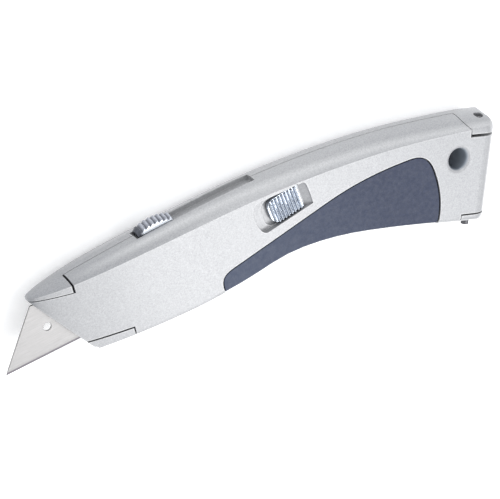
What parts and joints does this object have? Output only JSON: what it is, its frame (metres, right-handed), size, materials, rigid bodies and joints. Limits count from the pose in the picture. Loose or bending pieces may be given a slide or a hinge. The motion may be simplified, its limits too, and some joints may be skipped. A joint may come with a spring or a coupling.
{
  "type": "utility knife",
  "caption": "Swing-open utility knife: retractable trapezoid blade, thumb slider on the spine, side release slider, curved grip and rear hinge.",
  "frame": {"origin": "on the flat outer face of the far half, below the middle of the handle", "axes": "+X from the nose to the rear along the blade's cutting edge, +Y to the spine, +Z from the far half to the cover"},
  "size_m": [0.1853, 0.0547, 0.018],
  "materials": {
    "silver_paint": "fine metallic silver lacquer on die-cast zinc, satin",
    "soft_grip": "soft slate grey-blue grip, satin",
    "chrome_plate": "bright chrome plate",
    "blade_steel": "fine ground steel with a brighter bevel",
    "dark_steel": "blackened steel",
    "spring_steel": "bright spring steel",
    "carrier_plastic": "moulded black plastic"
  },
  "bodies": {
    "body": {"body_shell": "silver_paint", "body_grip": "soft_grip", "hinge_pin": "dark_steel", "detent_spring": "spring_steel", "detent_screw": "dark_steel", "latch_catch": "dark_steel", "blade_clip": "spring_steel", "clip_screw": "dark_steel", "spare_blade_1": "blade_steel", "spare_blade_2": "blade_steel", "spare_blade_3": "blade_steel", "spare_blade_4": "blade_steel"},
    "cover": {"cover_shell": "silver_paint", "cover_grip": "soft_grip", "latch_spring": "spring_steel"},
    "latch": {"release_button": "chrome_plate", "latch_plate": "spring_steel", "latch_rivet_front": "spring_steel", "latch_rivet_rear": "spring_steel"},
    "carrier": {"blade_carrier": "carrier_plastic", "blade": "blade_steel", "button_spring": "spring_steel"},
    "thumb": {"thumb_button": "chrome_plate"}
  },
  "joints": [
    {"name": "cover_hinge", "type": "hinge", "parent": "body", "child": "cover", "pos_m": [0.0868, -0.0054, 0.0125], "axis": [0.3502, 0.9367, 0], "range_deg": [0, 110]},
    {"name": "blade_slide", "type": "slide", "parent": "body", "child": "carrier", "axis": [1, 0, 0], "range_m": [0, 0.027]},
    {"name": "button_press", "type": "slide", "parent": "carrier", "child": "thumb", "axis": [0, -1, 0], "range_m": [0, 0.0008], "deforming": ["button_spring"]},
    {"name": "release_slide", "type": "slide", "parent": "cover", "child": "latch", "axis": [-0.9925, -0.1219, 0], "range_m": [0, 0.0019], "deforming": ["latch_spring"]}
  ]
}
